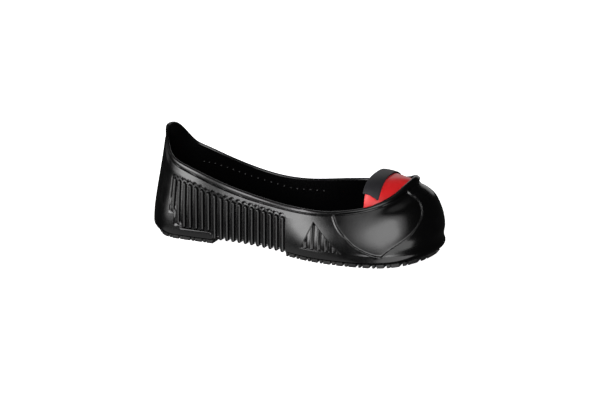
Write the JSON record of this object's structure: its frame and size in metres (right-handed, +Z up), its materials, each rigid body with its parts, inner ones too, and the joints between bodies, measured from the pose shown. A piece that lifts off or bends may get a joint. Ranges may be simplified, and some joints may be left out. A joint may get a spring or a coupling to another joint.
{
  "type": "rubber overshoe with toe cap",
  "caption": "Moulded black rubber overshoe for the right foot, open on top, with ribbed sides, a lugged tread and a hard red toe cap edged by a dark grey strip",
  "frame": {"origin": "on the ground under the middle of the bounding box, the tread lugs standing on Z = 0", "axes": "+X towards the toe, along the length; +Y towards the inner (big-toe) side; +Z up"},
  "size_m": [0.3, 0.1172, 0.1089],
  "materials": {
    "black_rubber": "glossy moulded rubber, smooth with a polished shine",
    "red_plastic": "satin injection-moulded plastic",
    "dark_grey_plastic": "matt soft plastic"
  },
  "bodies": {
    "root": {"overshoe_body": "black_rubber", "toe_cap": "red_plastic", "cap_edge_strip": "dark_grey_plastic"}
  },
  "joints": []
}
